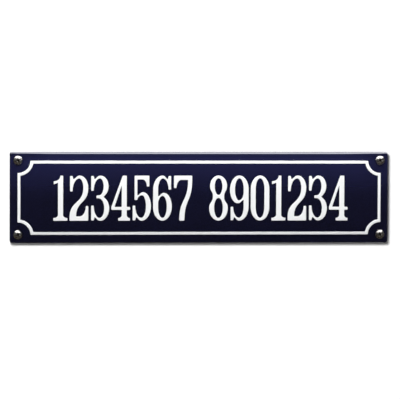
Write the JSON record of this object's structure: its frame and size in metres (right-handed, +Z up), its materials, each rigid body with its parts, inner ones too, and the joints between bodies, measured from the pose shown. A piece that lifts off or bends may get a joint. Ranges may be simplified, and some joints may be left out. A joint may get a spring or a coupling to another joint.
{
  "type": "street name sign",
  "caption": "Landscape street name sign: a domed pan of enamelled sheet steel with a scalloped border line, screwed to a wall at its corners.",
  "frame": {"origin": "middle of the four screws, on the wall's surface", "axes": "+X along the sign to the reader's right, +Z up, +Y into the wall, so the face looks towards -Y"},
  "size_m": [0.33, 0.0329, 0.079],
  "materials": {
    "blue_enamel": "gloss vitreous enamel on pressed sheet steel, dark blue",
    "white_enamel": "gloss vitreous enamel, white, a little raised",
    "screw_steel": "bright zinc, slightly worn on the heads"
  },
  "bodies": {
    "root": {"sign_plate": "blue_enamel", "white_border": "white_enamel", "fixing_screws": "screw_steel"}
  },
  "joints": []
}
